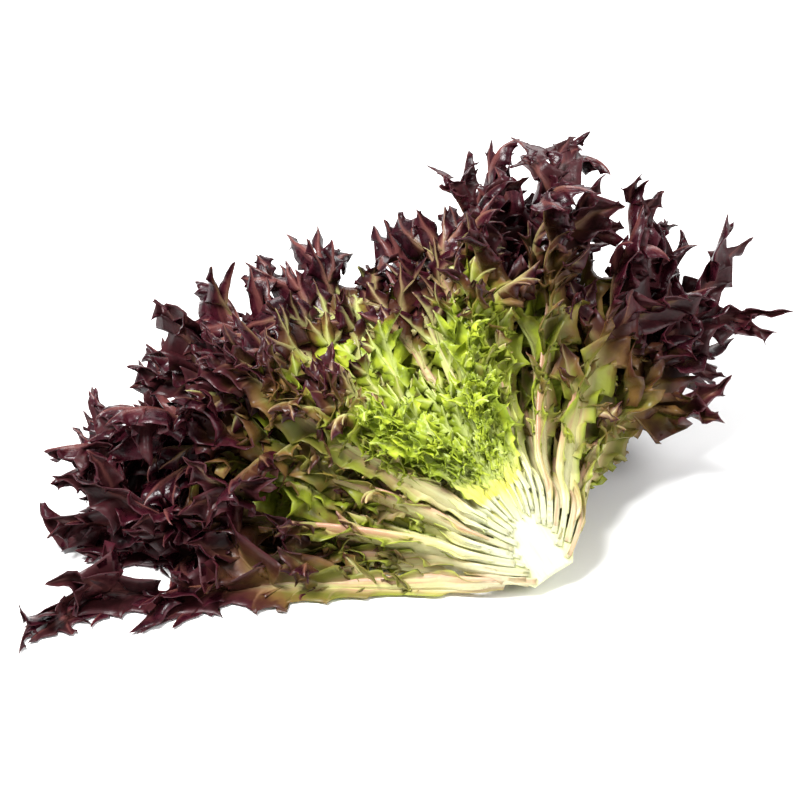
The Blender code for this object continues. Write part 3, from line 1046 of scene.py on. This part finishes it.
def leaf_finish():
    """A thin glossy leaf, from cream at the stem through lime or olive and brown to dark purple."""
    finish = Finish("endive_leaf")
    purple, rib, pale, olive, edge, back = (finish.mark(name) for name in MARKS[:6])
    broad = finish.noise(PATCHES)
    blotch = finish.noise(BLOTCHES, 4.0)
    fine = finish.noise(SPECKLE)
    grain = finish.noise(GRAIN, 2.0)
    streak = finish.streaks()

    # Green, from the lime of a young leaf to the olive of an old one.
    young = finish.mix((blotch * 2.6 + broad * 1.2 - 1.45).clamp(), LIME, DEEP_LIME)
    old = finish.mix((blotch * 1.6 + broad * 1.4 - 1.05).clamp(), OLIVE, LIGHT_OLIVE)
    green = finish.mix(olive.step(0.05, 0.70), young, old)

    # Purple, rosier near the rib and brighter at the very edge.
    red = finish.mix((fine * 1.2 + broad * 1.2 - 0.95).clamp(), PURPLE, BRIGHT_PURPLE)
    rosy = (1.10 - edge * 2.0 + (streak - 0.5) * 1.6 + (broad - 0.5) * 1.8 - purple * 0.30).clamp()
    red = finish.mix(rosy * 0.65, red, ROSE_BROWN)
    red = finish.mix(edge.step(0.82, 1.0) * 0.5, red, BRIGHT_PURPLE)

    # The blade turns from green through russet and brown to purple, and its outer face is duller.
    turned = (purple + edge * olive * 0.22 + (blotch - 0.5) * 0.7 + (broad - 0.5) * 0.5).clamp()
    russet = finish.mix(turned.step(0.02, 0.30), green, RUSSET)
    brownish = finish.mix(turned.step(0.26, 0.50), russet, BROWN)
    blade_colour = finish.mix(turned.step(0.46, 0.82), brownish, red)
    blade_colour = finish.mix(back * turned * (0.1 + blotch * 0.5), blade_colour, MAUVE)

    # Ribs are green with a tan blush, brown on an old leaf and purple where the blade is. The blush is the
    # rib's own colour in its streaks and patches, and painted shade on a midrib's flanks.
    tan_blush_and_flank_shade = (olive.step(0.0, 0.45) * (streak * 2.0 + edge * 0.9 + broad - 1.10)).clamp()
    rib_fresh = finish.mix(tan_blush_and_flank_shade, RIB_GREEN, RIB_TAN)
    rib_old = finish.mix((streak * 3.0 - 1.2).clamp(), RIB_BROWN, RIB_OCHRE)
    rib_ripe = finish.mix(purple.step(0.0, 0.45) * olive, rib_fresh, rib_old)
    rib_colour = finish.mix(purple.step(0.62, 1.05), rib_ripe, RIB_PURPLE)
    veined = finish.mix((rib * (0.92 - purple * 0.55)).clamp(), blade_colour, rib_colour)

    # Everything bleaches towards the stem, a young leaf to yellow and an old one to cream.
    bleached = pale * (pale * 0.20 + rib) * (1.45 - streak * 0.9 - tan_blush_and_flank_shade * 0.8)
    bleach = finish.mix(olive.step(0.0, 0.14), YELLOW, CREAM)
    bleach = finish.mix(pale.step(0.90, 1.0), bleach, WHITE)
    colour = finish.mix(bleached.clamp(), veined, bleach)

    finish.surface(colour, 0.17 + fine * 0.24 + back * 0.10)
    finish.relief(blotch * 0.5 + fine * 0.45 + streak * (0.25 + rib * 0.35) + grain * 0.12, 0.0006, 0.70)
    finish.shader.inputs["Specular IOR Level"].default_value = 0.24

    # Light shines through a blade that is still green.
    glow = finish.add("ShaderNodeBsdfTranslucent", {}, {"Color": (*GLOW, 1.0)})
    opaque = Value(finish, finish.shader.outputs["BSDF"])
    blend = finish.add("ShaderNodeMixShader", {}, {0: GLOW_SHARE - turned * GLOW_SHARE, 1: opaque, 2: glow})
    finish.feed(finish.output.inputs["Surface"], blend)
    return finish.material


def stem_finish():
    """Moist cut stem: white at its middle, pale green at its sides and yellow towards the heart."""
    finish = Finish("cut_stem")
    patch = finish.noise(160.0)
    streak = finish.streaks()
    height, off_axis = finish.mark("edge"), finish.mark("rib")
    white = finish.mix((streak * 1.6 - 0.4).clamp(), WHITE, PALE_STRAW)
    side = finish.mix((off_axis.step(0.35, 1.0) * (0.5 + streak * 0.6)).clamp(), white, PALE_GREEN)
    finish.surface(finish.mix(height.step(0.50, 1.0), side, YELLOW), 0.34 + patch * 0.14)
    finish.relief(patch * 0.5 + streak * 0.5, 0.0005, 0.5)
    finish.shader.inputs["Subsurface Weight"].default_value = 0.25
    finish.shader.inputs["Subsurface Radius"].default_value = (0.004, 0.004, 0.002)
    finish.shader.inputs["Subsurface Scale"].default_value = 1.0
    return finish.material


FLOOR_SIZE = 8.0
FLOOR_GREY = (0.92, 0.92, 0.92, 1.0)


def make_floor():
    finish = Finish("pale_floor")
    finish.surface(FLOOR_GREY, 0.7)
    finish.shader.inputs["Specular IOR Level"].default_value = 0.2
    bpy.ops.mesh.primitive_plane_add(size=FLOOR_SIZE, location=(0.0, 0.0, 0.0))
    floor = bpy.context.object
    floor.name = "floor"
    floor.data.materials.append(finish.material)


# Each lamp's name, place, size and power in watts. All of them point at the middle of the head.
SKY_STRENGTH = 0.38
LAMPS = (
    ("key", (-0.45, -0.35, 1.1), 0.4, 31.5),
    ("fill", (0.9, -0.6, 0.9), 0.7, 10.0),
    ("back", (0.2, 1.1, 0.9), 0.9, 14.0),
)
LIT_POINT = Vector((0.0, 0.0, 0.05))


def make_lights():
    world = bpy.data.worlds.new("studio")
    bpy.context.scene.world = world
    world.use_nodes = True
    sky = world.node_tree.nodes["Background"]
    sky.inputs["Color"].default_value = (1.0, 1.0, 1.0, 1.0)
    sky.inputs["Strength"].default_value = SKY_STRENGTH
    for name, place, size, power in LAMPS:
        lamp = bpy.data.lights.new(name, "AREA")
        lamp.size = size
        lamp.energy = power
        light = new_object(name, lamp)
        light.location = place
        light.rotation_euler = (LIT_POINT - Vector(place)).to_track_quat("-Z", "Y").to_euler()


CAMERA_ELEVATION_DEG = 31.0
CAMERA_DISTANCE = 1.1
CAMERA_TARGET = Vector((-0.012, 0.0, 0.055))
LENS_MM = 118.0
SENSOR_MM = 36.0


def make_camera():
    camera = bpy.data.cameras.new("camera")
    camera.lens = LENS_MM
    camera.sensor_width = SENSOR_MM
    holder = new_object("camera", camera)
    elevation = math.radians(CAMERA_ELEVATION_DEG)
    offset = CAMERA_DISTANCE * Vector((0.0, -math.cos(elevation), math.sin(elevation)))
    holder.location = CAMERA_TARGET + offset
    holder.rotation_euler = (-offset).to_track_quat("-Z", "Y").to_euler()
    bpy.context.scene.camera = holder


def main():
    make_camera()
    sweep = rib_sweep()
    leaf_material = leaf_finish()
    for ring_index, ring in enumerate(RINGS):
        for leaf_index in range(ring.solids):
            leaf_piece(ring_index, leaf_index, sweep, leaf_material)
    stem_piece(stem_finish())
    make_floor()
    make_lights()
    bpy.context.scene.view_settings.view_transform = "Standard"


main()
